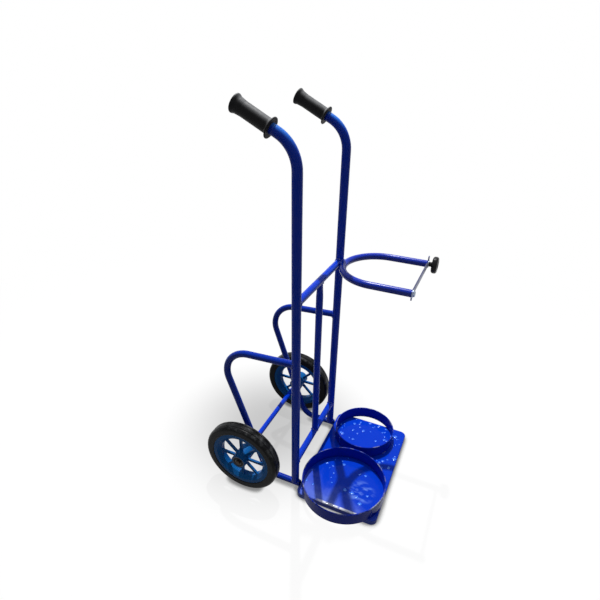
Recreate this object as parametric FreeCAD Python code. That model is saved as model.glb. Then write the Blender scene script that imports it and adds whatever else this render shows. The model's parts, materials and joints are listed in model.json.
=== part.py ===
import FreeCAD, Part
import math
import os

from FreeCAD import Vector

# Gas cylinder trolley: a welded tube frame on two wheels, a folded sheet base with two rings
# that the cylinders stand in, and a yoke with a swinging gate that holds the tall cylinder.
# Millimetres, +Z up, the base towards -Y. Left and right are those of the person who pushes
# it and looks along -Y, so the right side is at -X. Pieces are laid out from the plane midway
# between the uprights and from the plane of the upright axes, and moved to the origin when saved.

# Clearances
weld_gap = 0.1
seat_gap = 0.05
running_gap = 0.1
face_gap = 0.3
cut_overrun = 6.0
pick_tolerance = 0.01

# Frame tubes
upright_od = 30.0
upright_wall = 2.0
upright_spacing = 376.0
tube_od = 25.0
tube_wall = 2.0
upper_crossbar_height = 816.0
lower_crossbar_height = 138.0
strut_press_length = 58.0
strut_press_width = 31.0
strut_press_thickness = 16.0

# Handles and grips
handle_straight_height = 1195.0
handle_bend_radius = 100.0
handle_rise_angle = 27.0
handle_neck = 19.0
grip_length = 116.0
grip_body_diameter = 40.0
grip_flange_diameter = 57.0
grip_flange_thickness = 4.5
grip_flange_fillet = 7.0
grip_mouth_diameter = 50.0
grip_mouth_rim = 4.0
grip_flare_length = 26.0
grip_flare_radius = 20.0
grip_flare_knee_share = 0.3
grip_flare_rise_share = 0.35
grip_end_thickness = 7.0
grip_edge_radius = 2.0

# Side hoops
hoop_top_height = 591.0
hoop_corner_height = 573.0
hoop_foot_rise = 3.5
hoop_lean_angle = 18.6
hoop_upper_bend_radius = 97.0
hoop_lower_bend_radius = 64.0

# Base tray
tray_width = 497.0
tray_height = 22.5
tray_sheet = 3.0
tray_corner_radius = 24.0
tray_fold_radius = 5.0
tray_offset = 18.0
tray_setback = 4.5

# Cylinder rings
ring_height = 52.0
ring_thickness = 4.0
ring_edge_radius = 1.2
large_ring_od = 322.0
large_ring_overhang = 2.0
small_ring_od = 252.0
small_ring_inset = 23.0
ring_spacing = 17.0

# Yoke and its threaded end plugs
yoke_offset = 170.5
yoke_inner_width = 244.0
yoke_reach = 295.0
plug_head_thickness = 2.0
plug_spigot_length = 25.0
thread_diameter = 10.0

# Gate bar
gate_height = 20.0
gate_thickness = 4.0
gate_end_reach = 11.0
gate_slot_gap = 0.6
gate_tail_width = 8.0
gate_tail_drop = 24.0
gate_tab_width = 10.0
gate_tab_rise = 28.0
gate_end_round_share = 0.9

# Gate fasteners
washer_od = 28.0
washer_thickness = 1.6
bolt_head_width = 17.0
bolt_head_height = 6.4
bolt_engagement = 18.0
bolt_head_sides = 6

# Clamp knob
knob_diameter = 61.0
knob_thickness = 20.5
knob_edge_radius = 8.0
knob_dish_diameter = 34.0
knob_dish_depth = 2.5
knob_stem_diameter = 17.0
knob_stem_length = 11.5
knob_insert_depth = 12.0

# Axle
axle_diameter = 20.0
axle_setback = 190.0
axle_end_length = 4.5
axle_chamfer = 1.5
collar_od = 28.0
collar_length = 8.0
clip_thickness = 1.2
clip_width = 4.0
clip_groove_depth = 0.6
clip_opening = 9.0

# Wheels
wheel_diameter = 300.0
wheel_track = 509.0
tyre_width = 48.0
tyre_shoulder_radius = 12.5
tyre_bead_radius = 4.0
tyre_groove_offset = 8.0
tyre_groove_width = 2.5
tyre_groove_depth = 2.5
rim_flange_diameter = 234.0
rim_seat_diameter = 216.0
rim_width = 44.0
rim_flange_thickness = 4.0
rim_mouth_diameter = 208.0
rim_waist_diameter = 180.0
rim_waist_width = 20.0
spoke_count = 8
spoke_width = 10.0
spoke_depth = 8.0
spoke_offset = 7.0
spoke_channel_width = 4.5
spoke_channel_depth = 1.8
spoke_channel_margin = 7.0
hub_od = 58.0
hub_length = 72.0
hub_bore = 38.0

# Wheel bearings
bearing_od = 47.0
bearing_width = 14.0
bearing_inset = 0.5
bearing_race = 3.4
ball_count = 8
seal_thickness = 1.5
seal_recess = 0.4

# Values that follow from the sizes above
right = -1
left = 1
upright_r = upright_od / 2
tube_r = tube_od / 2
upright_x = upright_spacing / 2
axle_height = wheel_diameter / 2
axle_r = axle_diameter / 2
wheel_x = wheel_track / 2
hub_half = hub_length / 2
thread_r = thread_diameter / 2
tray_back = -(upright_r + tray_setback)
tray_depth = large_ring_od - large_ring_overhang
foot_height = tray_height + hoop_foot_rise
large_ring_x = yoke_offset - (small_ring_od + large_ring_od) / 2 - ring_spacing
large_ring_centre = Vector(large_ring_x, tray_back - large_ring_od / 2, tray_height + weld_gap)
small_ring_y = tray_back - small_ring_inset - small_ring_od / 2
small_ring_centre = Vector(yoke_offset, small_ring_y, tray_height + weld_gap)
yoke_half = (yoke_inner_width + tube_od) / 2
pivot_x = yoke_offset - yoke_half
clamp_x = yoke_offset + yoke_half
plug_face = -(yoke_reach + plug_head_thickness)
gate_back = plug_face - face_gap
gate_front = gate_back - gate_thickness
washer_back = gate_front - face_gap
washer_front = washer_back - washer_thickness
stem_back = washer_front - face_gap
bearing_face = hub_half - bearing_inset
clip_inner = wheel_x + bearing_face + seat_gap
axle_half = clip_inner + clip_thickness + axle_end_length

# The origin is on the floor at the centre of the box that the trolley fills
left_reach = clamp_x + knob_diameter / 2
front_reach = large_ring_od - tray_back
rear_reach = axle_setback + wheel_diameter / 2
to_origin = Vector((axle_half - left_reach) / 2, (front_reach - rear_reach) / 2, 0)

x_axis = Vector(1, 0, 0)
z_axis = Vector(0, 0, 1)
forward = Vector(0, -1, 0)


def save(node, *solids):
    """Write the solids of one node, moved to the origin."""
    shape = solids[0] if len(solids) == 1 else Part.makeCompound(list(solids))
    shape.translated(to_origin).exportStep("parts/" + node + ".step")


def corner_arc(before, corner, after, radius):
    """Arc that rounds a corner, tangent to the lines from it to its two neighbours."""
    to_before = (before - corner).normalize()
    to_after = (after - corner).normalize()
    half_angle = to_before.getAngle(to_after) / 2
    inward = (to_before + to_after).normalize()
    reach = radius / math.tan(half_angle)
    middle = corner + inward * (radius / math.sin(half_angle) - radius)
    return Part.Arc(corner + to_before * reach, middle, corner + to_after * reach)


def bent_path(points, radii):
    """Open wire of straight runs, with one tangent arc at each inner point."""
    edges = []
    start = points[0]
    for index, radius in enumerate(radii, 1):
        arc = corner_arc(points[index - 1], points[index], points[index + 1], radius)
        edges.append(Part.LineSegment(start, arc.StartPoint).toShape())
        edges.append(arc.toShape())
        start = arc.EndPoint
    edges.append(Part.LineSegment(start, points[-1]).toShape())
    return Part.Wire(edges)


def rounded_face(corners):
    """Face of a closed outline of (along, across, corner radius) entries in the XY plane."""
    points = [Vector(along, across, 0) for along, across, _ in corners]
    arcs = []
    for index, (_, _, radius) in enumerate(corners):
        before = points[index - 1]
        after = points[(index + 1) % len(points)]
        arcs.append(corner_arc(before, points[index], after, radius) if radius else None)
    edges = []
    for index, point in enumerate(points):
        following = (index + 1) % len(points)
        start = arcs[index].EndPoint if arcs[index] else point
        end = arcs[following].StartPoint if arcs[following] else points[following]
        if arcs[index]:
            edges.append(arcs[index].toShape())
        edges.append(Part.LineSegment(start, end).toShape())
    return Part.Face(Part.Wire(edges))


def turned(corners):
    """Solid turned about the X axis from (along, radius, corner radius) entries."""
    return rounded_face(corners).revolve(Vector(), x_axis, 360)


def placed(shape, base, direction):
    """Copy of a shape with its X axis laid along a direction from a base point."""
    moved = shape.copy()
    turn = FreeCAD.Placement(base, FreeCAD.Rotation(x_axis, direction))
    moved.Placement = turn.multiply(shape.Placement)
    return moved


def swept(path, radius, start, direction):
    """Round bar along a path."""
    return path.makePipeShell([Part.Wire(Part.makeCircle(radius, start, direction))], True, False)


def bent_tube(points, radii, od, wall):
    """Hollow bent tube along straight runs and arcs."""
    path = bent_path(points, radii)
    direction = points[1] - points[0]
    outside = swept(path, od / 2, points[0], direction)
    return outside.cut(swept(path, od / 2 - wall, points[0], direction))


def rod(start, end, radius):
    """Round bar between two points."""
    run = end - start
    return Part.makeCylinder(radius, run.Length, start, run)


def straight_tube(start, end, od, wall):
    """Hollow straight tube between two points."""
    return rod(start, end, od / 2).cut(rod(start, end, od / 2 - wall))


def collar(inner_r, outer_r, start, length):
    """Ring about the X axis that starts at a place along it."""
    end = start + length
    return turned([(start, inner_r, 0), (start, outer_r, 0), (end, outer_r, 0), (end, inner_r, 0)])


def edges_along_z(shape):
    """Edges that stand upright."""
    return [edge for edge in shape.Edges if edge.BoundBox.XLength + edge.BoundBox.YLength < pick_tolerance]


def edges_at_top(shape):
    """Edges that lie in the top face."""
    top = shape.BoundBox.ZMax
    return [edge for edge in shape.Edges if edge.BoundBox.ZMin > top - pick_tolerance]


def upright_core(side, radius, low, high):
    """Round bar on the axis of one upright, for coping what meets it."""
    x = side * upright_x
    return rod(Vector(x, 0, low), Vector(x, 0, high), radius)


def make_upright(side):
    """Upright tube with its bent handle, coped over the hoop's foot."""
    x = side * upright_x
    rise = math.radians(handle_rise_angle)
    out = Vector(0, math.cos(rise), math.sin(rise))
    tangent = handle_bend_radius * math.tan((math.pi / 2 - rise) / 2)
    corner = Vector(x, 0, handle_straight_height + tangent)
    straight = tangent + handle_neck + grip_length - grip_end_thickness - seat_gap
    points = [Vector(x, 0, foot_height), corner, corner + out * straight]
    tube = bent_tube(points, [handle_bend_radius], upright_od, upright_wall)
    foot = rod(Vector(x, upright_od, foot_height), Vector(x, -upright_od, foot_height), tube_r + weld_gap)
    return tube.cut(foot), corner + out * (tangent + handle_neck), out


def make_grip():
    """Closed handle grip along the X axis, with a flange at its open end and a flared far end."""
    flange_r = grip_flange_diameter / 2
    mouth_r = grip_mouth_diameter / 2
    body_r = grip_body_diameter / 2
    bore_r = upright_r + seat_gap
    flange = grip_flange_thickness
    end = grip_length - grip_end_thickness
    rim = grip_length - grip_mouth_rim
    knee = rim - grip_flare_length * grip_flare_knee_share
    knee_r = body_r + (mouth_r - body_r) * grip_flare_rise_share
    return turned([
        (0, bore_r, 0),
        (0, flange_r, grip_edge_radius),
        (flange, flange_r, grip_edge_radius),
        (flange, body_r, grip_flange_fillet),
        (rim - grip_flare_length, body_r, grip_flare_radius),
        (knee, knee_r, grip_flare_radius),
        (rim, mouth_r, 0),
        (grip_length, mouth_r, grip_edge_radius),
        (grip_length, 0, 0),
        (end, 0, 0),
        (end, bore_r, 0),
    ])


def leg_y(height):
    """Where the hoop's leaning leg stands, so that the axle lies against its back."""
    lean = math.radians(hoop_lean_angle)
    offset = tube_r + axle_r + weld_gap
    run = height - axle_height - offset * math.sin(lean)
    return axle_setback - offset * math.cos(lean) + run * math.tan(lean)


def make_hoop(side):
    """Bent side tube from the upright round behind the axle and back to the tray."""
    x = side * upright_x
    points = [
        Vector(x, 0, hoop_top_height),
        Vector(x, leg_y(hoop_corner_height), hoop_corner_height),
        Vector(x, leg_y(foot_height), foot_height),
        Vector(x, tray_back + weld_gap, foot_height),
    ]
    tube = bent_tube(points, [hoop_upper_bend_radius, hoop_lower_bend_radius], tube_od, tube_wall)
    low, high = hoop_top_height - tube_od, hoop_top_height + tube_od
    return tube.cut(upright_core(side, upright_r + weld_gap, low, high))


def make_crossbar(height):
    """Tube between the uprights, coped at both ends."""
    tube = straight_tube(Vector(-upright_x, 0, height), Vector(upright_x, 0, height), tube_od, tube_wall)
    for side in (right, left):
        tube = tube.cut(upright_core(side, upright_r + weld_gap, height - tube_od, height + tube_od))
    return tube


def strut_core(inset):
    """Bar of the middle tube's outline, drawn in by an inset, pressed flat at its top."""
    press_start = upper_crossbar_height - strut_press_length
    rounds = [Part.makeCircle(tube_r - inset, Vector(0, 0, height), z_axis)
              for height in (lower_crossbar_height, press_start)]
    top = Vector(0, 0, upper_crossbar_height)
    wide = top + x_axis * (strut_press_width / 2 - inset)
    thin = top - forward * (strut_press_thickness / 2 - inset)
    pressed = Part.Ellipse(wide, thin, top).toShape()
    return Part.makeLoft([Part.Wire(edge) for edge in rounds + [pressed]], True, True)


def make_strut():
    """Middle tube between the crossbars, coped at both ends."""
    tube = strut_core(0).cut(strut_core(tube_wall))
    for height in (lower_crossbar_height, upper_crossbar_height):
        bar = rod(Vector(-tube_od, 0, height), Vector(tube_od, 0, height), tube_r + weld_gap)
        tube = tube.cut(bar)
    return tube


def rounded_block(inset, bottom, top, top_radius):
    """Block of the tray's plan, drawn in by an inset, with round corners and a round top edge."""
    width = tray_width - 2 * inset
    depth = tray_depth - 2 * inset
    corner = Vector(tray_offset - width / 2, tray_back - tray_depth + inset, bottom)
    block = Part.makeBox(width, depth, top - bottom, corner)
    block = block.makeFillet(tray_corner_radius - inset, edges_along_z(block))
    return block.makeFillet(top_radius, edges_at_top(block))


def make_tray():
    """Base of sheet metal with its edges folded down to the floor."""
    outside = rounded_block(0, 0, tray_height, tray_fold_radius)
    inner_top = tray_height - tray_sheet
    return outside.cut(rounded_block(tray_sheet, -cut_overrun, inner_top, tray_fold_radius - tray_sheet))


def make_ring(centre, od):
    """Ring of rolled flat bar standing on the tray, with its outer top edge eased."""
    outside = Part.makeCylinder(od / 2, ring_height, centre)
    outside = outside.makeFillet(ring_edge_radius, edges_at_top(outside))
    return outside.cut(Part.makeCylinder(od / 2 - ring_thickness, ring_height, centre))


def make_yoke():
    """U-bent tube whose closed end lies against the front of the left upright."""
    contact = yoke_half + upright_r + tube_r + weld_gap
    bend_y = -math.sqrt(contact ** 2 - (upright_x - yoke_offset) ** 2)
    near = [Vector(pivot_x, y, upper_crossbar_height) for y in (-yoke_reach, bend_y)]
    far = [Vector(clamp_x, y, upper_crossbar_height) for y in (bend_y, -yoke_reach)]
    crown = Vector(yoke_offset, bend_y + yoke_half, upper_crossbar_height)
    bend = Part.Arc(near[1], crown, far[0])
    runs = [Part.LineSegment(*near).toShape(), bend.toShape(), Part.LineSegment(*far).toShape()]
    path = Part.Wire(runs)
    outside = swept(path, tube_r, near[0], forward)
    return outside.cut(swept(path, tube_r - tube_wall, near[0], forward))


def make_plug(x):
    """Threaded plug welded into the end of a yoke arm."""
    spigot_r = tube_r - tube_wall - seat_gap
    hole_r = thread_r + running_gap
    outline = [
        (plug_head_thickness, hole_r, 0),
        (plug_head_thickness, tube_r, 0),
        (seat_gap, tube_r, 0),
        (seat_gap, spigot_r, 0),
        (-plug_spigot_length, spigot_r, 0),
        (-plug_spigot_length, hole_r, 0),
    ]
    return placed(turned(outline), Vector(x, -yoke_reach, upper_crossbar_height), forward)


def make_washer(x):
    """Plain washer in front of the gate bar."""
    ring = collar(thread_r + running_gap, washer_od / 2, 0, washer_thickness)
    return placed(ring, Vector(x, washer_back, upper_crossbar_height), forward)


def make_pivot_bolt():
    """Hexagon bolt that the gate bar swings on."""
    head_r = bolt_head_width / math.sqrt(3)
    angles = [2 * math.pi * turn / bolt_head_sides for turn in range(bolt_head_sides)]
    corners = [Vector(0, head_r * math.cos(angle), head_r * math.sin(angle)) for angle in angles]
    head = Part.Face(Part.makePolygon(corners + corners[:1])).extrude(x_axis * bolt_head_height)
    bevel = bolt_head_height / 4
    rounding = turned([
        (0, 0, 0),
        (0, head_r, 0),
        (bolt_head_height - bevel, head_r, 0),
        (bolt_head_height, bolt_head_width / 2 - bevel / 2, 0),
        (bolt_head_height, 0, 0),
    ])
    shank_length = bolt_engagement + plug_face - washer_front
    shank = Part.makeCylinder(thread_r, shank_length, Vector(), x_axis * -1)
    base = Vector(pivot_x, washer_front, upper_crossbar_height)
    return placed(head.common(rounding).fuse(shank), base, forward)


def make_gate_bar():
    """Flat bar across the yoke, with a lifting tab and a slot that drops over the stud."""
    half = gate_height / 2
    end_round = half * gate_end_round_share
    slot_r = thread_r + gate_slot_gap
    span = clamp_x - pivot_x
    end = span + gate_end_reach
    tab_low = end - gate_tab_width
    tail_half = gate_tail_width / 2
    outline = rounded_face([
        (-half, half, end_round),
        (-half, -half, end_round),
        (-tail_half, -half, 0),
        (-tail_half, -gate_tail_drop, tail_half / 2),
        (tail_half, -gate_tail_drop, tail_half / 2),
        (tail_half, -half, 0),
        (end, -half, slot_r / 4),
        (end, gate_tab_rise, gate_tab_width / 4),
        (tab_low, gate_tab_rise, gate_tab_width / 4),
        (tab_low, half, 0),
    ])
    bar = outline.extrude(z_axis * gate_thickness)
    hole = Part.makeCylinder(thread_r + running_gap, gate_thickness)
    slot_end = Part.makeCylinder(slot_r, gate_thickness, Vector(span, 0, 0))
    slot = Part.makeBox(2 * slot_r, gate_height, gate_thickness, Vector(span - slot_r, -gate_height, 0))
    bar = bar.cut(hole).cut(slot_end).cut(slot)
    bar.Placement = FreeCAD.Placement(
        Vector(pivot_x, gate_back, upper_crossbar_height), FreeCAD.Rotation(x_axis, 90))
    return bar


def make_knob():
    """Round moulded knob with a stem and a shallow dish in its face."""
    head_r = knob_diameter / 2
    stem_r = knob_stem_diameter / 2
    dish_r = knob_dish_diameter / 2
    insert_r = thread_r + seat_gap
    front = knob_stem_length + knob_thickness
    blind = knob_insert_depth + seat_gap
    body = turned([
        (0, insert_r, 0),
        (0, stem_r, 0),
        (knob_stem_length, stem_r, knob_edge_radius / 2),
        (knob_stem_length, head_r, knob_edge_radius),
        (front, head_r, knob_edge_radius),
        (front, dish_r, 0),
        (front - knob_dish_depth, dish_r - knob_dish_depth, 0),
        (front - knob_dish_depth, 0, 0),
        (blind, 0, 0),
        (blind, insert_r, 0),
    ])
    return placed(body, Vector(clamp_x, stem_back, upper_crossbar_height), forward)


def make_stud():
    """Threaded stud moulded into the knob, screwed into the yoke's plug."""
    start = Vector(clamp_x, plug_face + bolt_engagement, upper_crossbar_height)
    return rod(start, Vector(clamp_x, stem_back - knob_insert_depth, upper_crossbar_height), thread_r)


def make_axle():
    """Round axle with a groove for a retaining ring near each end."""
    groove_r = axle_r - clip_groove_depth
    inner = clip_inner - seat_gap
    outer = clip_inner + clip_thickness + seat_gap
    half = [
        (-axle_half, 0, 0),
        (-axle_half, axle_r - axle_chamfer, 0),
        (-axle_half + axle_chamfer, axle_r, 0),
        (-outer, axle_r, 0),
        (-outer, groove_r, 0),
        (-inner, groove_r, 0),
        (-inner, axle_r, 0),
    ]
    outline = half + [(-along, radius, 0) for along, radius, _ in reversed(half)]
    return placed(turned(outline), Vector(0, axle_setback, axle_height), x_axis)


def on_axle(side, shape, offset=0):
    """Copy of a piece made about the X axis, moved to one wheel."""
    return placed(shape, Vector(side * (wheel_x + offset), axle_setback, axle_height), x_axis * side)


def make_clip():
    """Open retaining ring in the axle's groove."""
    inner_r = axle_r - clip_groove_depth + seat_gap
    outer_r = inner_r + clip_width
    ring = collar(inner_r, outer_r, bearing_face + seat_gap, clip_thickness)
    opening = Part.makeBox(
        clip_thickness + 2 * cut_overrun, clip_opening, outer_r + cut_overrun,
        Vector(bearing_face - cut_overrun, -clip_opening / 2, -outer_r - cut_overrun))
    return ring.cut(opening)


def make_tyre():
    """Solid rubber tyre with two grooves round its tread."""
    tread_r = wheel_diameter / 2
    seat_r = rim_seat_diameter / 2 + seat_gap
    bead_r = rim_flange_diameter / 2 + seat_gap
    half = tyre_width / 2
    seat_half = rim_width / 2 - rim_flange_thickness - seat_gap
    groove_out = tyre_groove_offset + tyre_groove_width
    groove_r = tread_r - tyre_groove_depth
    side = [
        (-seat_half, seat_r, 0),
        (-seat_half, bead_r, 0),
        (-half, bead_r, tyre_bead_radius),
        (-half, tread_r, tyre_shoulder_radius),
        (-groove_out, tread_r, 0),
        (-groove_out, groove_r, 0),
        (-tyre_groove_offset, groove_r, 0),
        (-tyre_groove_offset, tread_r, 0),
    ]
    return turned(side + [(-along, radius, rounding) for along, radius, rounding in reversed(side)])


def make_spoke():
    """One spoke pointing up, nearer the wheel's outer face, with a channel sunk in both its faces."""
    inner = spoke_offset - spoke_depth / 2
    root = (hub_od + hub_bore) / 4
    tip = (rim_waist_diameter + rim_seat_diameter) / 4
    low = hub_od / 2 + spoke_channel_margin
    high = rim_waist_diameter / 2 - spoke_channel_margin
    bar = Part.makeBox(spoke_depth, spoke_width, tip - root, Vector(inner, -spoke_width / 2, root))
    channel = Part.makeBox(spoke_channel_depth, spoke_channel_width, high - low)
    for start in (inner, inner + spoke_depth - spoke_channel_depth):
        bar = bar.cut(channel.translated(Vector(start, -spoke_channel_width / 2, low)))
    return bar


def make_rim():
    """Moulded wheel centre: tyre seat, spokes and hub."""
    half = rim_width / 2
    waist = rim_waist_width / 2
    seat = half - rim_flange_thickness
    flange_r = rim_flange_diameter / 2
    seat_r = rim_seat_diameter / 2
    barrel = turned([
        (-half, rim_mouth_diameter / 2, 0),
        (-half, flange_r, 0),
        (-seat, flange_r, 0),
        (-seat, seat_r, 0),
        (seat, seat_r, 0),
        (seat, flange_r, 0),
        (half, flange_r, 0),
        (half, rim_mouth_diameter / 2, 0),
        (waist, rim_waist_diameter / 2, 0),
        (-waist, rim_waist_diameter / 2, 0),
    ])
    spoke = make_spoke()
    spokes = [spoke.rotated(Vector(), x_axis, 360 * turn / spoke_count) for turn in range(spoke_count)]
    hub = Part.makeCylinder(hub_od / 2, hub_length, Vector(-hub_half, 0, 0), x_axis)
    rim = barrel.multiFuse(spokes + [hub])
    rim = rim.cut(Part.makeCylinder(hub_bore / 2, hub_length, Vector(-hub_half, 0, 0), x_axis))
    seat_r = bearing_od / 2 + seat_gap
    seat_depth = bearing_width + bearing_inset + seat_gap
    for start in (-hub_half - cut_overrun, hub_half - seat_depth):
        pocket = Part.makeCylinder(seat_r, seat_depth + cut_overrun, Vector(start, 0, 0), x_axis)
        rim = rim.cut(pocket)
    return rim.removeSplitter()


def bearing_pair(make):
    """The same bearing piece at both ends of a hub."""
    outer = bearing_face - bearing_width / 2
    return [make(-outer), make(outer)]


def make_inner_race(middle):
    """Bearing race on the axle."""
    return collar(axle_r + seat_gap, axle_r + bearing_race, middle - bearing_width / 2, bearing_width)


def make_outer_race(middle):
    """Bearing race in the hub."""
    outer_r = bearing_od / 2
    return collar(outer_r - bearing_race, outer_r, middle - bearing_width / 2, bearing_width)


def make_balls(middle):
    """Balls that run between the races."""
    inner_r = axle_r + bearing_race + running_gap
    outer_r = bearing_od / 2 - bearing_race - running_gap
    ball = Part.makeSphere((outer_r - inner_r) / 2, Vector(middle, 0, (outer_r + inner_r) / 2))
    return [ball.rotated(Vector(), x_axis, 360 * turn / ball_count) for turn in range(ball_count)]


def make_seals(middle):
    """Rubber seals that close both faces of a bearing."""
    inner_r = axle_r + bearing_race + face_gap
    outer_r = bearing_od / 2 - bearing_race - seat_gap
    out = bearing_width / 2 - seal_recess
    starts = (middle - out, middle + out - seal_thickness)
    return [collar(inner_r, outer_r, start, seal_thickness) for start in starts]


os.makedirs("parts", exist_ok=True)

# Welded frame
grip = make_grip()
for name, side in (("right", right), ("left", left)):
    upright, grip_base, grip_direction = make_upright(side)
    save(name + "_upright", upright)
    save(name + "_grip", placed(grip, grip_base, grip_direction))
    save(name + "_side_hoop", make_hoop(side))
save("upper_crossbar", make_crossbar(upper_crossbar_height))
save("lower_crossbar", make_crossbar(lower_crossbar_height))
save("centre_strut", make_strut())
save("base_tray", make_tray())
save("large_ring", make_ring(large_ring_centre, large_ring_od))
save("small_ring", make_ring(small_ring_centre, small_ring_od))

# Yoke and gate
save("cylinder_yoke", make_yoke())
save("pivot_plug", make_plug(pivot_x))
save("clamp_plug", make_plug(clamp_x))
save("gate_bar", make_gate_bar())
save("pivot_washer", make_washer(pivot_x))
save("pivot_bolt", make_pivot_bolt())
save("clamp_washer", make_washer(clamp_x))
save("clamp_knob", make_knob())
save("knob_stud", make_stud())

# Axle and wheels
save("axle", make_axle())
stop = collar(axle_r + seat_gap, collar_od / 2, -bearing_face - seat_gap - collar_length, collar_length)
save("axle_collars", on_axle(right, stop), on_axle(left, stop))
clip = make_clip()
save("axle_clips", on_axle(right, clip), on_axle(left, clip))
tyre = make_tyre()
rim = make_rim()
inner_races = bearing_pair(make_inner_race)
outer_races = bearing_pair(make_outer_race)
balls = sum(bearing_pair(make_balls), [])
seals = sum(bearing_pair(make_seals), [])
for name, side in (("right", right), ("left", left)):
    save(name + "_tyre", on_axle(side, tyre))
    save(name + "_rim", on_axle(side, rim))
    save(name + "_bearing_inner_races", *[on_axle(side, race) for race in inner_races])
    save(name + "_bearing_outer_races", *[on_axle(side, race) for race in outer_races])
    save(name + "_bearing_balls", *[on_axle(side, ball) for ball in balls])
    save(name + "_bearing_seals", *[on_axle(side, seal) for seal in seals])
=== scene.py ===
import json
import math
import random
from collections import namedtuple

import bmesh
import bpy
from mathutils import Matrix, Vector

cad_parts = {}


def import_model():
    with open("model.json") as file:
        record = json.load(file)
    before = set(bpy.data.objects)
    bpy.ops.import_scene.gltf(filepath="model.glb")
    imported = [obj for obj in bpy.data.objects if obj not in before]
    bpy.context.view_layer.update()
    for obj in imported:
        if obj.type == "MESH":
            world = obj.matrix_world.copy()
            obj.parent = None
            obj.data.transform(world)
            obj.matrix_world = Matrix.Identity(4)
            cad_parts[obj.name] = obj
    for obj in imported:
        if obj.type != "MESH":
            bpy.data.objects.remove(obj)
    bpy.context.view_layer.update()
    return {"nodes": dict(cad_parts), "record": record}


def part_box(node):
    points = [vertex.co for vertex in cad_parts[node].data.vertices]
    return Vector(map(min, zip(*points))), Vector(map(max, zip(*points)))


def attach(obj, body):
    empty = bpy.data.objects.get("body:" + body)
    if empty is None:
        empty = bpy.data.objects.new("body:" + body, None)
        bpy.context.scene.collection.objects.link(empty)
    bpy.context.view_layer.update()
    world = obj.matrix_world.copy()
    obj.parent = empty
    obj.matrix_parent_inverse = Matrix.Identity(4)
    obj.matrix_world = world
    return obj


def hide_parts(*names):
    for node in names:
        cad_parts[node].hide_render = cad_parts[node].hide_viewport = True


# Looks of the gas cylinder trolley: finishes for every piece, weld beads, paint drops and a thread.
# Metres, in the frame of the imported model: +Z up, the base tray towards -Y, the right side at -X.

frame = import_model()
random.seed(7)

# Kinds of values: a noise, a mask and a bump made of it, a painted highlight on upward faces, and materials
Grain = namedtuple("Grain", "scale detail roughness", defaults=(4.0, 0.55))
Pattern = namedtuple("Pattern", "grain start full")
Relief = namedtuple("Relief", "grain strength height")
Film = namedtuple("Film", "colour start full depth")
Paint = namedtuple("Paint", "blues shine rough bloom peel_share film")
Rubber = namedtuple("Rubber", "colour grain rough shine bloom")
Plastic = namedtuple("Plastic", "tones grain pattern rough relief shine")
Steel = namedtuple("Steel", "bright dull rough stretch")

# Camera
camera_place = Vector((-1.2498, -0.48092, 1.42581))
camera_target = Vector((0.0, 0.06191, 0.59234))
camera_roll = math.radians(1.0567)
camera_lens = 25.97
camera_sensor = 36.0
camera_shift = (-0.00814, 0.05126)

# Lights
key_direction = Vector((0.312, 0.1625, 0.936))
key_distance = 6.0
key_size = (0.08, 0.08)
key_power = 296.0
panel_direction = Vector((0.25, 0.12, 0.96))
panel_distance = 6.0
panel_size = (4.0, 3.0)
panel_power = 80.0
ambient_strength = 0.23

# Floor
floor_size = 30.0
floor_cells = 8
floor_albedo = 0.06
floor_white = 0.94
# Painted shadow: the floor's glow is greyer round a point under the trolley
floor_shade_centre = Vector((0.07, 0.25, 0.0))
floor_shade_tone = 0.52
floor_shade_reach = (0.05, 0.56)
floor_fade_reach = (1.1, 2.6)
# Painted contact shade: the glow darkens where ambient occlusion finds the object close
contact_reach = 0.025
contact_tone = 0.3
contact_open = (0.5, 0.95)

# Weld beads
bead_radius = 0.0032
bead_sides = 10
bead_samples = 6
bead_least_ripples = 3
bead_pitch = 0.0034
bead_ripple_share = 0.13
bead_jitter_share = 0.05
bead_lean_share = 0.35
bead_end_shift = 0.6
bead_end_power = 0.4

# Welds: the lean of the hoops' back legs, and shares of the radii of the tubes that they join
hoop_lean = math.radians(18.6)
strut_press_share = 0.7
saddle_slack_share = 1.002
axle_bead_reach_share = 0.72
axle_bead_gap_share = 0.55
yoke_bead_reach_share = 0.7
yoke_bead_gap_share = 0.5
crotch_start_share = 1.6
crotch_lift_share = 0.45

# Welds of the rings: degrees round each ring
tack_length = 0.022
tack_turns = {"large_ring": (20, 75, -60, 115, -105), "small_ring": (60, 120, -120, 200, -45)}
seam_turns = {"large_ring": -122, "small_ring": 140}
seam_sink_share = 0.55
seam_size_share = 0.9

# Patches of paint drops: shares of the tray's width and depth, then the spread and number of drops
drop_patch_shares = (
    (0.87, 0.68, 0.04, 16),
    (0.92, 0.38, 0.03, 9),
    (0.84, 0.2, 0.03, 9),
    (0.85, 0.07, 0.02, 5),
    (0.6, 0.1, 0.035, 9),
    (0.4, 0.8, 0.035, 6),
    (0.48, 0.45, 0.035, 7),
    (0.29, 0.72, 0.05, 10),
    (0.2, 0.3, 0.03, 5),
    (0.7, 0.85, 0.03, 5),
    (0.13, 0.93, 0.01, 3),
)
drop_margin = 0.012
drop_radius = (0.003, 0.0095)
drop_size_power = 1.5
drop_squeeze_shares = (0.65, 1.0)
drop_wobble_share = 0.14
drop_lobes = (2, 3)
drop_height_share = 0.2
drop_sink = 0.00005
drop_rings = 5
drop_sides = 18

# Thread of the knob's stud
thread_pitch = 0.0015
thread_depth = 0.0009
thread_sides = 40
thread_steps_per_turn = 8

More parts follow.
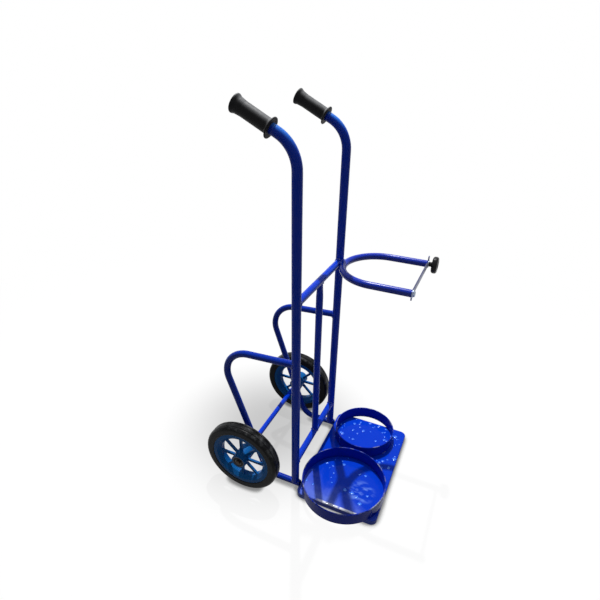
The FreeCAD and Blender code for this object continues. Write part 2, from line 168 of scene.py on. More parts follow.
# Enamel: roughness goes from clean to smeared, and the bloom is pale where it is seen edge on
tone_grain = Grain(9.0)
smear_pattern = Pattern(Grain(23.0, 5.0, 0.6), 0.3, 0.75)
peel_relief = Relief(Grain(330.0, 2.0), 0.005, 0.0006)
wave_relief = Relief(Grain(60.0, 1.0), 0.01, 0.0012)
bloom_spread = 0.3
bloom_tint = (0.2, 0.58, 1.0, 1.0)
painted_top_highlight_pattern = Pattern(Grain(26.0, 5.0, 0.6), 0.25, 0.75)
painted_top_highlight_thin_share = 0.65
# Painted highlight: a pale azure on the upward faces of the handle bends
handle_painted_top_highlight = Film(colour=(0.05, 0.28, 0.85), start=0.3, full=0.95, depth=0.8)
enamel_blues = ((0.002, 0.046, 0.6), (0.0015, 0.036, 0.52))
# Darker copies of the enamel blues for the hoops, yoke and rings: painted shade, for the less light these
# parts catch
hoop_shaded_blues = ((0.0015, 0.032, 0.4), (0.001, 0.025, 0.34))
yoke_shaded_blues = ((0.0015, 0.028, 0.44), (0.001, 0.021, 0.36))
ring_shaded_blues = ((0.0012, 0.024, 0.42), (0.001, 0.018, 0.35))
# The drops' paler blue is a painted highlight, for the light the drops catch
drop_highlight_blues = ((0.07, 0.27, 1.0), (0.012, 0.1, 0.8))
tube_paint = Paint(
    blues=enamel_blues,
    shine=0.085,
    rough=(0.18, 0.26),
    bloom=0.42,
    peel_share=1.0,
    film=None,
)
upright_paint = tube_paint._replace(film=handle_painted_top_highlight)
hoop_paint = tube_paint._replace(blues=hoop_shaded_blues)
drop_paint = tube_paint._replace(blues=drop_highlight_blues, shine=0.32, rough=(0.12, 0.2))
yoke_paint = tube_paint._replace(blues=yoke_shaded_blues, shine=0.18, rough=(0.2, 0.27), bloom=0.08, peel_share=0.15)
weld_paint = tube_paint._replace(bloom=0.0)
ring_paint = weld_paint._replace(blues=ring_shaded_blues, shine=0.05)
tray_paint = weld_paint._replace(shine=0.05, rough=(0.05, 0.1))

# Tray: dents, a painted reflection that grows towards the right, pale strokes painted with the glint of
# smears, and a painted highlight along the right fold
dent_relief = Relief(Grain(13.0, 2.0), 0.15, 0.004)
# Painted reflection: a pale tone that grows towards the right of the tray, standing in for the reflection of
# a bright sky
painted_reflection_direction = Vector((-1.0, 0.33, 0.0))
painted_reflection_reach = (0.09, 0.21)
painted_reflection_blotch = 0.03
painted_reflection_pattern = Pattern(Grain(16.0, 4.0, 0.6), 0.25, 0.75)
painted_reflection_depth = 0.85
painted_reflection_tone = (0.13, 0.2, 0.72)
# Pale strokes: smears painted with the glint they catch
stroke_place_shares = (0.212, 0.2775)
stroke_stretch = (1.0, 0.5, 1.0)
stroke_reach = (0.02, 0.065)
stroke_pattern = Pattern(Grain(48.0, 3.0, 0.5), 0.44, 0.7)
stroke_depth = 0.7
painted_stroke_glint_tone = (0.22, 0.4, 0.95)
# Painted highlight: a near-white line along the top of the right fold, where the bend catches the light
painted_fold_highlight_across = (0.006, 0.011)
painted_fold_highlight_below = (0.004, 0.0025)
painted_fold_highlight_front = (0.06, 0.08)
painted_fold_highlight_back = (0.1, 0.08)
painted_fold_highlight_pattern = Pattern(Grain(22.0, 3.0), 0.3, 0.42)
painted_fold_highlight_white = (0.85, 0.88, 0.95)

# Steel where paint has come off the welds and rings; along the rings' top edges this bare steel is also a
# painted highlight
bare_steel = (0.42, 0.45, 0.56)
dull_steel = (0.16, 0.18, 0.26)
bare_grain = Grain(160.0)
bare_roughness = 0.35
speck_pattern = Pattern(Grain(170.0, 4.0, 0.7), 0.53, 0.62)
ring_edge_wear_and_highlight_below = (0.0009, 0.0002)
ring_edge_wear_and_highlight_pattern = Pattern(Grain(30.0, 3.0), 0.46, 0.74)
scuff_place_shares = (0.34, 0.018)
scuff_reach = (0.025, 0.06)
scuff_below = (0.02, 0.004)
scuff_pattern = Pattern(Grain(75.0, 6.0, 0.7), 0.36, 0.52)

# Rubber: dusty patches are a multiple of its colour and a little grey
seal_compound = Rubber(colour=(0.005, 0.0045, 0.004), grain=900.0, rough=0.4, shine=0.05, bloom=0.0)
grip_compound = Rubber(colour=(0.006, 0.006, 0.007), grain=700.0, rough=0.42, shine=0.09, bloom=0.3)
tyre_compound = Rubber(colour=(0.006, 0.0065, 0.0075), grain=420.0, rough=0.3, shine=0.06, bloom=0.4)
rubber_dust_gain = 2.0
rubber_dust_grey = 0.003
rubber_dust_pattern = Pattern(Grain(35.0, 6.0, 0.65), 0.45, 0.8)
rubber_rough_pattern = Pattern(Grain(60.0), 0.3, 0.7)
rubber_rough_range = 0.14
rubber_detail = 3.0
rubber_strength = 0.1
rubber_height = 0.0004
# Painted highlight: a pale grey on the grips' upward faces
grip_painted_top_highlight = Film(colour=(0.2, 0.205, 0.215), start=0.3, full=0.95, depth=0.85)
# Pale tone on the tread: partly dust, partly a painted highlight
tread_dust_and_highlight_below = (0.011, 0.002)
tread_dust_and_highlight_pattern = Pattern(Grain(34.0, 5.0, 0.65), 0.47, 0.72)
tread_dust_and_highlight_depth = 0.6
tread_dust_and_highlight_tone = (0.13, 0.135, 0.14)

# Moulded plastics
rim_plastic = Plastic(
    tones=((0.008, 0.13, 0.4), (0.006, 0.105, 0.34)),
    grain=Grain(26.0, 5.0),
    pattern=Pattern(Grain(90.0), 0.3, 0.7),
    rough=(0.22, 0.34),
    relief=Relief(Grain(700.0, 2.0), 0.06, 0.0004),
    shine=0.05,
)
knob_plastic = Plastic(
    tones=((0.006, 0.006, 0.007), (0.012, 0.012, 0.013)),
    grain=Grain(80.0),
    pattern=Pattern(Grain(150.0), 0.3, 0.7),
    rough=(0.2, 0.32),
    relief=Relief(Grain(1400.0, 2.0), 0.15, 0.0003),
    shine=0.12,
)

# Plated and ground steels: their brush marks run along the axes with a small stretch
plating_grain = Grain(140.0, 5.0, 0.65)
brush_grain = Grain(1.0, 3.0, 0.6)
brush_span = (0.3, 0.7)
brush_strength = 0.12
brush_height = 0.0002
zinc_steel = Steel(
    bright=(0.32, 0.37, 0.46),
    dull=(0.2, 0.235, 0.3),
    rough=(0.25, 0.42),
    stretch=(60.0, 900.0, 900.0),
)
black_steel = Steel(
    bright=(0.05, 0.05, 0.05),
    dull=(0.025, 0.025, 0.027),
    rough=(0.35, 0.5),
    stretch=(300.0, 300.0, 300.0),
)
bearing_steel = Steel(
    bright=(0.035, 0.032, 0.03),
    dull=(0.015, 0.014, 0.013),
    rough=(0.24, 0.4),
    stretch=(700.0, 90.0, 90.0),
)
gate_steel = Steel(
    bright=(0.07, 0.08, 0.18),
    dull=(0.035, 0.04, 0.11),
    rough=(0.3, 0.45),
    stretch=(40.0, 500.0, 500.0),
)

# Axle: paint that ends at the collars
axle_greases = ((0.03, 0.018, 0.012), (0.01, 0.007, 0.005))
axle_grain = Grain(190.0, 5.0, 0.7)
axle_relief = Relief(Grain(330.0, 2.0), 0.05, 0.0005)
axle_rough = (0.1, 0.42)
axle_edge = (-0.002, 0.001)

up = Vector((0, 0, 1))
x_axis = Vector((1, 0, 0))
y_axis = Vector((0, 1, 0))


# Places read from the frame

def middle(node):
    """Centre of a node's box."""
    low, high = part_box(node)
    return (low + high) / 2


def half_width(node, axis):
    """Half of a node's box along an axis."""
    low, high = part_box(node)
    return (high[axis] - low[axis]) / 2


def on_top(node, x_share, y_share):
    """Point on top of a node's box, at shares of its width and depth."""
    low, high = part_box(node)
    size = high - low
    return Vector((low.x + size.x * x_share, low.y + size.y * y_share, high.z))


upright_r = half_width("right_upright", 0)
tube_r = half_width("upper_crossbar", 2)
axle_r = half_width("axle", 2)
upright_y = middle("centre_strut").y
upright_xs = {"right": middle("right_upright").x, "left": middle("left_upright").x}
crossbar_heights = {"upper": middle("upper_crossbar").z, "lower": middle("lower_crossbar").z}
foot_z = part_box("right_side_hoop")[0].z + tube_r
ring_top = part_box("large_ring")[1].z
tray_low, tray_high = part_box("base_tray")


# Node helpers

class Finish:
    """A Principled material whose sockets are fed by procedural nodes."""

    def __init__(self, name, **sockets):
        self.material = bpy.data.materials.new(name)
        self.material.use_nodes = True
        self.tree = self.material.node_tree
        self.shader = self.tree.nodes["Principled BSDF"]
        for socket, value in sockets.items():
            self.shader.inputs[socket.replace("_", " ")].default_value = value
        coordinates = self.node("ShaderNodeTexCoord")
        self.place = coordinates.outputs["Object"]
        self.facing = coordinates.outputs["Normal"]

    def node(self, kind, **settings):
        """New node with its settings."""
        made = self.tree.nodes.new(kind)
        for name, value in settings.items():
            setattr(made, name, value)
        return made

    def link(self, source, target):
        """Join an output to an input."""
        self.tree.links.new(source, target)

    def stretched(self, scale):
        """Object coordinates scaled by axis."""
        mapping = self.node("ShaderNodeMapping")
        mapping.inputs["Scale"].default_value = scale
        self.link(self.place, mapping.inputs["Vector"])
        return mapping.outputs["Vector"]

    def axis(self, index, vector=None):
        """One of the object's own coordinates, or of another vector."""
        made = self.node("ShaderNodeSeparateXYZ")
        self.link(vector or self.place, made.inputs["Vector"])
        return made.outputs[index]

    def vector_math(self, operation, constant, place=None):
        """Number worked out from the object's own coordinates, or another vector, and a constant."""
        made = self.node("ShaderNodeVectorMath", operation=operation)
        self.link(place or self.place, made.inputs[0])
        made.inputs[1].default_value = constant
        return made.outputs["Value"]

    def math(self, operation, first, second):
        """Arithmetic on two sources, the second of which may be a number."""
        made = self.node("ShaderNodeMath", operation=operation)
        self.link(first, made.inputs[0])
        if isinstance(second, (int, float)):
            made.inputs[1].default_value = second
        else:
            self.link(second, made.inputs[1])
        return made.outputs["Value"]

    def product(self, result, *others):
        """Sources multiplied together."""
        for other in others:
            result = self.math("MULTIPLY", result, other)
        return result

    def span(self, source, low, high, to_low=0.0, to_high=1.0):
        """Source remapped from one span of values to another, clamped."""
        made = self.node("ShaderNodeMapRange", interpolation_type="SMOOTHSTEP")
        made.inputs["From Min"].default_value = low
        made.inputs["From Max"].default_value = high
        made.inputs["To Min"].default_value = to_low
        made.inputs["To Max"].default_value = to_high
        self.link(source, made.inputs["Value"])
        return made.outputs["Result"]

    def near(self, point, inner, outer):
        """1 within an inner distance of a point, and 0 past an outer one."""
        return self.span(self.vector_math("DISTANCE", point), inner, outer, 1.0, 0.0)

    def noise(self, grain, place=None):
        """Noise over the object's own coordinates, or others."""
        made = self.node("ShaderNodeTexNoise")
        made.inputs["Scale"].default_value = grain.scale
        made.inputs["Detail"].default_value = grain.detail
        made.inputs["Roughness"].default_value = grain.roughness
        self.link(place or self.place, made.inputs["Vector"])
        return made.outputs["Fac"]

    def patches(self, pattern, low=0.0, high=1.0, place=None):
        """Noise remapped so that it goes from low to high in patches."""
        return self.span(self.noise(pattern.grain, place), pattern.start, pattern.full, low, high)

    def mixed(self, factor, first, second):
        """Two colours, or sources of colour, mixed by a factor."""
        made = self.node("ShaderNodeMix", data_type="RGBA")
        self.link(factor, made.inputs["Factor"])
        for socket, value in (("A", first), ("B", second)):
            target = next(i for i in made.inputs if i.name == socket and i.type == "RGBA")
            if isinstance(value, tuple):
                target.default_value = (*value, 1.0)
            else:
                self.link(value, target)
        return next(o for o in made.outputs if o.type == "RGBA")

    def painted_top_highlighted(self, tone, film):
        """Tone with a patchy painted highlight on upward faces."""
        patchy = self.patches(painted_top_highlight_pattern, painted_top_highlight_thin_share, 1.0)
        lying = self.span(self.axis(2, self.facing), film.start, film.full, 0.0, film.depth)
        return self.mixed(self.product(lying, patchy), tone, film.colour)

    def bump(self, height, strength, distance, under=None):
        """Normal raised by a height, on top of another normal."""
        made = self.node("ShaderNodeBump")
        made.inputs["Strength"].default_value = strength
        made.inputs["Distance"].default_value = distance
        self.link(height, made.inputs["Height"])
        if under:
            self.link(under, made.inputs["Normal"])
        return made.outputs["Normal"]

    def embossed(self, relief, under=None, share=1.0):
        """Normal raised by a noise, at a share of its strength."""
        return self.bump(self.noise(relief.grain), relief.strength * share, relief.height, under)

    def feed(self, **sources):
        """Link sources to the shader's sockets."""
        for socket, source in sources.items():
            self.link(source, self.shader.inputs[socket.replace("_", " ")])
        return self.material


# Painted finishes

def enamel_layers(name, paint):
    """Finish, tone, roughness and normal of gloss enamel with orange peel and faint smears."""
    finish = Finish(name, Specular_IOR_Level=paint.shine, Sheen_Weight=paint.bloom,
                    Sheen_Roughness=bloom_spread, Sheen_Tint=bloom_tint)
    tone = finish.mixed(finish.noise(tone_grain), *paint.blues)
    rough = finish.patches(smear_pattern, *paint.rough)
    skin = finish.embossed(peel_relief, share=paint.peel_share)
    return finish, tone, rough, finish.embossed(wave_relief, skin, paint.peel_share)


def enamel(name, paint):
    """Gloss enamel over the whole piece, with the painted highlight on upward faces if the paint has one."""
    finish, tone, rough, skin = enamel_layers(name, paint)
    if paint.film:
        tone = finish.painted_top_highlighted(tone, paint.film)
    return finish.feed(Base_Color=tone, Roughness=rough, Normal=skin)


def painted_tray_reflection(finish):
    """Mask of the painted reflection on the tray, which grows towards the right with a blotchy edge."""
    slope = finish.vector_math("DOT_PRODUCT", painted_reflection_direction)
    blotch = finish.patches(painted_reflection_pattern, -painted_reflection_blotch, painted_reflection_blotch)
    return finish.span(finish.math("ADD", slope, blotch), *painted_reflection_reach, 0.0, painted_reflection_depth)


def painted_stroke_glints(finish):
    """Mask of the pale strokes round a place on the tray: smears painted with the glint they catch."""
    near = finish.near(on_top("base_tray", *stroke_place_shares), *stroke_reach)
    strokes = finish.patches(stroke_pattern, 0.0, stroke_depth, finish.stretched(stroke_stretch))
    return finish.product(near, strokes)


def painted_fold_highlight(finish):
    """Mask of the painted highlight in patches along the top of the right fold, away from the tray's corners.
    """
    across, along, height = (finish.axis(index) for index in range(3))
    return finish.product(
        finish.span(across, *(tray_low.x + reach for reach in painted_fold_highlight_across), 1.0, 0.0),
        finish.span(height, *(tray_high.z - depth for depth in painted_fold_highlight_below)),
        finish.span(along, *(tray_low.y + reach for reach in painted_fold_highlight_front)),
        finish.span(along, *(tray_high.y - reach for reach in painted_fold_highlight_back), 1.0, 0.0),
        finish.patches(painted_fold_highlight_pattern))


def tray_enamel():
    """Dented enamel with a painted reflection, pale strokes with painted glints, and a painted highlight on
    the fold.
    """
    finish, tone, rough, skin = enamel_layers("tray_enamel", tray_paint)
    tone = finish.mixed(painted_tray_reflection(finish), tone, painted_reflection_tone)
    tone = finish.mixed(painted_stroke_glints(finish), tone, painted_stroke_glint_tone)
    tone = finish.mixed(painted_fold_highlight(finish), tone, painted_fold_highlight_white)
    return finish.feed(Base_Color=tone, Roughness=rough, Normal=finish.embossed(dent_relief, skin))


def chipped(layers, bare):
    """Enamel that shows dull steel where a mask is 1."""
    finish, tone, rough, skin = layers
    steel = finish.mixed(finish.noise(bare_grain), bare_steel, dull_steel)
    rough = finish.math("ADD", rough, finish.math("MULTIPLY", bare, bare_roughness))
    return finish.feed(Base_Color=finish.mixed(bare, tone, steel), Roughness=rough, Normal=skin)


def weld_enamel():
    """Enamel over weld beads, burnt off in specks."""
    layers = enamel_layers("weld_enamel", weld_paint)
    return chipped(layers, layers[0].patches(speck_pattern))


def ring_enamel(name, scuff_place=None):
    """Enamel with bare steel along the ring's top edge, partly wear and partly a painted highlight, and
    scuffed through round a place.
    """
    layers = enamel_layers(name, ring_paint)
    finish = layers[0]
    height = finish.axis(2)
    # Bare steel along the top edge: partly wear, partly a painted highlight
    edge = finish.span(height, *(ring_top - depth for depth in ring_edge_wear_and_highlight_below))
    wear_and_edge_highlight = finish.product(edge, finish.patches(ring_edge_wear_and_highlight_pattern))
    if scuff_place is not None:
        upper = finish.span(height, *(ring_top - depth for depth in scuff_below))
        near = finish.near(scuff_place, *scuff_reach)
        scuff = finish.product(near, finish.patches(scuff_pattern), upper)
        wear_and_edge_highlight = finish.math("MAXIMUM", wear_and_edge_highlight, scuff)
    return chipped(layers, wear_and_edge_highlight)


def axle_finish():
    """Enamel between the wheels, and bare greasy steel at the ends."""
    finish = Finish("axle_finish", Specular_IOR_Level=tube_paint.shine)
    from_middle = finish.math("SUBTRACT", finish.axis(0), middle("axle_collars").x)
    reach = half_width("axle_collars", 0)
    bare = finish.span(finish.math("ABSOLUTE", from_middle, 0.0), *(reach + edge for edge in axle_edge))
    paint = finish.mixed(finish.noise(tone_grain), *tube_paint.blues)
    steel = finish.mixed(finish.noise(axle_grain), *axle_greases)
    rough = finish.span(bare, 0.0, 1.0, *axle_rough)
    return finish.feed(Base_Color=finish.mixed(bare, paint, steel), Roughness=rough, Metallic=bare,
                       Normal=finish.embossed(axle_relief))


# Rubber, plastic and steel finishes

def rubber_layers(name, rubber):
    """Finish, tone, roughness and normal of moulded rubber with a fine grain and dusty patches."""
    finish = Finish(name, Specular_IOR_Level=rubber.shine, Sheen_Weight=rubber.bloom,
                    Sheen_Roughness=bloom_spread)
    dusty = tuple(value * rubber_dust_gain + rubber_dust_grey for value in rubber.colour)
    tone = finish.mixed(finish.patches(rubber_dust_pattern), rubber.colour, dusty)
    rough = finish.patches(rubber_rough_pattern, rubber.rough, rubber.rough + rubber_rough_range)
    relief = Relief(Grain(rubber.grain, rubber_detail), rubber_strength, rubber_height)
    return finish, tone, rough, finish.embossed(relief)


def seal_finish():
    """Plain moulded rubber."""
    finish, tone, rough, skin = rubber_layers("seal_rubber", seal_compound)
    return finish.feed(Base_Color=tone, Roughness=rough, Normal=skin)


def grip_finish():
    """Moulded rubber with a painted highlight on its upper side."""
    finish, tone, rough, skin = rubber_layers("grip_rubber", grip_compound)
    return finish.feed(Base_Color=finish.painted_top_highlighted(tone, grip_painted_top_highlight), Roughness=rough, Normal=skin)


def tyre_finish():
    """Solid rubber with pale dust on its tread that is also a painted highlight."""
    finish, tone, rough, skin = rubber_layers("tyre_rubber", tyre_compound)
    wheel = middle("right_tyre")
    tread = half_width("right_tyre", 2)
    beside_axle = finish.stretched((0.0, 1.0, 1.0))
    from_axle = finish.vector_math("DISTANCE", (0.0, wheel.y, wheel.z), beside_axle)
    on_tread = finish.span(from_axle, *(tread - depth for depth in tread_dust_and_highlight_below))
    dust = finish.product(on_tread, finish.patches(tread_dust_and_highlight_pattern, 0.0, tread_dust_and_highlight_depth))
    return finish.feed(Base_Color=finish.mixed(dust, tone, tread_dust_and_highlight_tone), Roughness=rough, Normal=skin)


def plastic_finish(name, plastic):
    """Moulded plastic with a faint flow pattern."""
    finish = Finish(name, Specular_IOR_Level=plastic.shine)
    tone = finish.mixed(finish.noise(plastic.grain), *plastic.tones)
    rough = finish.patches(plastic.pattern, *plastic.rough)
    return finish.feed(Base_Color=tone, Roughness=rough, Normal=finish.embossed(plastic.relief))


def steel_finish(name, steel):
    """Steel with a plated or ground skin and faint brush marks."""
    finish = Finish(name, Metallic=1.0)
    brushed = finish.noise(brush_grain, finish.stretched(steel.stretch))
    tone = finish.mixed(finish.noise(plating_grain), steel.bright, steel.dull)
    rough = finish.span(brushed, *brush_span, *steel.rough)
    skin = finish.bump(brushed, brush_strength, brush_height)
    return finish.feed(Base_Color=tone, Roughness=rough, Normal=skin)


# Finishes of the pieces

def slot_finishes():
    """One finish for each material slot of the record."""
    return {
        "blue_paint": enamel("blue_enamel", tube_paint),
        "zinc_steel": steel_finish("zinc_steel", zinc_steel),
        "black_steel": steel_finish("black_steel", black_steel),
        "bearing_steel": steel_finish("bearing_steel", bearing_steel),
        "seal_rubber": seal_finish(),
        "grip_rubber": grip_finish(),
        "knob_plastic": plastic_finish("knob_plastic", knob_plastic),
        "tyre_rubber": tyre_finish(),
        "rim_plastic": plastic_finish("rim_plastic", rim_plastic),
    }


def node_finishes():
    """Finishes of single nodes that differ from their slot's."""
    hoop_finish = enamel("hoop_enamel", hoop_paint)
    upright_finish = enamel("upright_enamel", upright_paint)
    return {
        "axle": axle_finish(),
        "base_tray": tray_enamel(),
        "cylinder_yoke": enamel("yoke_enamel", yoke_paint),
        "right_upright": upright_finish,
        "left_upright": upright_finish,
        "right_side_hoop": hoop_finish,
        "left_side_hoop": hoop_finish,
        "large_ring": ring_enamel("large_ring_enamel", on_top("large_ring", *scuff_place_shares)),
        "small_ring": ring_enamel("small_ring_enamel"),
        "gate_bar": steel_finish("gate_steel", gate_steel),
    }


finishes = slot_finishes()
weld_finish = weld_enamel()


def dress_nodes():
    """Give every node of the model its finish."""
    special = node_finishes()
    for subpart in frame["record"]["subparts"]:
        name = subpart["node"]
        finish = special.get(name, finishes[subpart["material_slot"]])
        for held in frame["nodes"][name].material_slots:
            held.material = finish


# Mesh helpers

def add_piece(name, shape, slot, body="frame", finish=None):
    """Turn a bmesh into a smooth piece that rides on a body."""
    mesh = bpy.data.meshes.new(name)
    bmesh.ops.recalc_face_normals(shape, faces=shape.faces)
    shape.to_mesh(mesh)
    shape.free()
    mesh.shade_smooth()
    mesh.materials.append(finish or finishes[slot])
    piece = bpy.data.objects.new(name, mesh)
    bpy.context.scene.collection.objects.link(piece)
    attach(piece, body)
    return piece


def add_welds(name, shape):
    """Turn a bmesh of weld beads into a painted piece of the frame."""
    add_piece(name, shape, "blue_paint", finish=weld_finish)


def join_rings(shape, rings, closed):
    """Skin a row of vertex rings, and close it into a loop or cap its ends."""
    sides = len(rings[0])
    count = len(rings)
    for index in range(count if closed else count - 1):
        ring, following = rings[index], rings[(index + 1) % count]
        for side in range(sides):
            after = (side + 1) % sides
            shape.faces.new((ring[side], ring[after], following[after], following[side]))
    if not closed:
        shape.faces.new(rings[0])
        shape.faces.new(rings[-1])


def bead_size(index, count, closed, radius):
    """Radius of a bead at one point of its path: rippled, uneven, and tapered at open ends."""
    ripple = math.cos(2 * math.pi * index / bead_samples)
    size = radius * (1 + bead_ripple_share * ripple + random.uniform(-1, 1) * bead_jitter_share)
    if closed:
        return size
    share = (index + bead_end_shift) / (count - 1 + 2 * bead_end_shift)
    return size * math.sin(math.pi * share) ** bead_end_power


def add_bead(shape, path, closed, radius=bead_radius):
    """Lay a rippled weld bead along (point, outward) pairs."""
    rings = []
    count = len(path)
    for index, (point, outward) in enumerate(path):
        before = path[index - 1][0] if closed or index > 0 else point
        after = path[(index + 1) % count][0] if closed or index + 1 < count else point
        along = (after - before).normalized()
        side = along.cross(outward).normalized()
        out = side.cross(along)
        size = bead_size(index, count, closed, radius)
        ring = []
        for turn in range(bead_sides):
            angle = 2 * math.pi * turn / bead_sides
            lean = along * (bead_lean_share * size * math.cos(angle))
            radial = out * math.cos(angle) + side * math.sin(angle)
            ring.append(shape.verts.new(point + radial * size + lean))
        rings.append(ring)
    join_rings(shape, rings, closed)


def bead_count(length):
    """Number of path points for a bead, a whole number of ripples."""
    return bead_samples * max(bead_least_ripples, round(length / bead_pitch))


def saddle(centre, away, along, r_small, r_large, turns=None, r_along=None):
    """Path where a round or oval tube leaves a round one, all the way round or between two angles."""
    across = away.cross(along)
    start, end = turns or (0.0, 2 * math.pi)
    count = bead_count((end - start) * r_small)
    steps = count - 1 if turns else count
    path = []
    for index in range(count):
        angle = start + (end - start) * index / steps
        reach = r_small * math.cos(angle)
        radial = across * reach + along * ((r_along or r_small) * math.sin(angle))
        depth = math.sqrt(max(0.0, r_large ** 2 - reach ** 2))
        path.append((centre + radial + away * depth, (radial.normalized() + away).normalized()))
    return path


def straight(start, end, outward):
    """Path of a straight bead."""
    count = bead_count((end - start).length)
    return [(start.lerp(end, index / (count - 1)), outward) for index in range(count)]


def arc(centre, radius, first, second, start, end, outward):
    """Path along a circle through two directions, between two angles."""
    count = bead_count(radius * abs(end - start))
    path = []
    for index in range(count):
        angle = start + (end - start) * index / (count - 1)
        radial = first * math.cos(angle) + second * math.sin(angle)
        path.append((centre + radial * radius, (radial + outward).normalized()))
    return path


# Welds of the frame

def crossbar_welds():
    """Beads round both ends of both crossbars."""
    shape = bmesh.new()
    for height in crossbar_heights.values():
        for side, away in (("right", x_axis), ("left", -x_axis)):
            centre = Vector((upright_xs[side], upright_y, height))
            add_bead(shape, saddle(centre, away, up, tube_r, upright_r), True)
    add_welds("crossbar_welds", shape)


def strut_welds():
    """Beads round both ends of the middle strut, whose top is pressed to an oval."""
    shape = bmesh.new()
    centre = middle("centre_strut")
    lower = Vector((centre.x, upright_y, crossbar_heights["lower"]))
    add_bead(shape, saddle(lower, up, x_axis, tube_r, tube_r * saddle_slack_share), True)
    upper = Vector((centre.x, upright_y, crossbar_heights["upper"]))
    wide = half_width("centre_strut", 0)
    pressed = tube_r * strut_press_share
    add_bead(shape, saddle(upper, -up, x_axis, pressed, tube_r, r_along=wide), True)
    add_welds("strut_welds", shape)


def hoop_welds():
    """Beads at the tops of the side hoops, under the uprights and against the tray."""
    shape = bmesh.new()
    top_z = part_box("right_side_hoop")[1].z - tube_r
    reach = math.acos(tube_r / upright_r)
    low = math.asin((foot_z - tray_high.z) / tube_r)
    for x in upright_xs.values():
        top = Vector((x, upright_y, top_z))
        add_bead(shape, saddle(top, y_axis, up, tube_r, upright_r), True)
        foot = Vector((x, upright_y, foot_z))
        for start in (reach, math.pi + reach):
            turns = (start, start + math.pi - 2 * reach)
            add_bead(shape, saddle(foot, up, y_axis, upright_r, tube_r, turns), False)
        tip = Vector((x, tray_high.y, foot_z))
        under = arc(tip, tube_r, x_axis, up, math.pi + low, 2 * math.pi - low, y_axis)
        add_bead(shape, under, False)
    add_welds("hoop_welds", shape)


def crossing_beads(shape, contact, along, across, outward, half_length, offset):
    """Two short beads, one on each side of the point where two round bars cross."""
    for side in (-1, 1):
        centre = contact + across * (side * offset)
        start = centre - along * half_length
        add_bead(shape, straight(start, centre + along * half_length, outward * side), False)


def axle_welds():
    """Beads that hold the axle against the backs of the side hoops."""
    shape = bmesh.new()
    axle = middle("axle")
    to_leg = Vector((0, -math.cos(hoop_lean), math.sin(hoop_lean)))
    leg = Vector((0, math.sin(hoop_lean), math.cos(hoop_lean)))
    reach = tube_r * axle_bead_reach_share
    gap = axle_r * axle_bead_gap_share
    for x in upright_xs.values():
        contact = Vector((x, axle.y, axle.z)) + to_leg * axle_r
        crossing_beads(shape, contact, x_axis, leg, leg, reach, gap)
    add_welds("axle_welds", shape)


def yoke_welds():
    """Beads between the yoke, the left upright and the upper crossbar."""
    shape = bmesh.new()
    low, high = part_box("cylinder_yoke")
    half = (high.x - low.x) / 2 - tube_r
    centre = Vector(((low.x + high.x) / 2, high.y - half - tube_r, (low.z + high.z) / 2))
    post = Vector((upright_xs["left"], upright_y, centre.z))
    to_post = (post - centre).normalized()
    contact = post - to_post * upright_r
    reach = upright_r * yoke_bead_reach_share
    crossing_beads(shape, contact, to_post.cross(up), up, up, reach, tube_r * yoke_bead_gap_share)
    crotch_y = (high.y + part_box("upper_crossbar")[0].y) / 2
    start = Vector((centre.x - tube_r * crotch_start_share, crotch_y, centre.z))
    end = Vector((post.x - upright_r, crotch_y, centre.z))
    for side in (-1, 1):
        lift = up * (side * tube_r * crotch_lift_share)
        add_bead(shape, straight(start + lift, end + lift, up * side), False)
    add_welds("yoke_welds", shape)


def ring_welds():
    """Tack welds that hold the rings on the tray, and the upright seam of each ring."""
    shape = bmesh.new()
    for name, turns in tack_turns.items():
        low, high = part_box(name)
        radius = (high.x - low.x) / 2
        centre = Vector(((low.x + high.x) / 2, (low.y + high.y) / 2, low.z))
        spread = tack_length / radius / 2
        for turn in turns:
            angle = math.radians(turn)
            tack = arc(centre, radius, x_axis, y_axis, angle - spread, angle + spread, up)
            add_bead(shape, tack, False)
        seam = math.radians(seam_turns[name])
        outward = x_axis * math.cos(seam) + y_axis * math.sin(seam)
        foot = centre + outward * (radius - bead_radius * seam_sink_share)
        top = foot + up * (high.z - low.z)
        add_bead(shape, straight(foot, top, outward), False, bead_radius * seam_size_share)
    add_welds("ring_welds", shape)


# Paint drops

def add_drop(shape, centre, radius, height, squeeze, turn):
    """Low blister of paint with an uneven edge, squeezed across its turn."""
    wobble = [random.uniform(-drop_wobble_share, drop_wobble_share) for _ in drop_lobes]
    rings = []
    for step in range(drop_rings):
        share = (step + 1) / drop_rings
        lift = height * (1 - share ** 2)
        ring = []
        for side in range(drop_sides):
            angle = 2 * math.pi * side / drop_sides
            wave = wobble[0] * math.cos(drop_lobes[0] * angle) + wobble[1] * math.sin(drop_lobes[1] * angle)
            reach = radius * share * (1 + wave)
            along = math.cos(angle) * reach
            across = math.sin(angle) * reach * squeeze
            offset = Vector((along * math.cos(turn) - across * math.sin(turn),
                             along * math.sin(turn) + across * math.cos(turn), lift))
            ring.append(shape.verts.new(centre + offset))
        rings.append(ring)
    crown = shape.verts.new(centre + up * height)
    for side in range(drop_sides):
        after = (side + 1) % drop_sides
        shape.faces.new((crown, rings[0][side], rings[0][after]))
        for inner, outer in zip(rings, rings[1:]):
            shape.faces.new((inner[side], outer[side], outer[after], inner[after]))
    shape.faces.new(rings[-1])


def drop_place(x_share, y_share, spread):
    """Random point near a place on top of the tray, kept in from the tray's edges."""
    place = on_top("base_tray", x_share, y_share) - up * drop_sink
    place += Vector((random.gauss(0, spread), random.gauss(0, spread), 0))
    for axis in (0, 1):
        low, high = tray_low[axis] + drop_margin, tray_high[axis] - drop_margin
        place[axis] = min(max(place[axis], low), high)
    return place


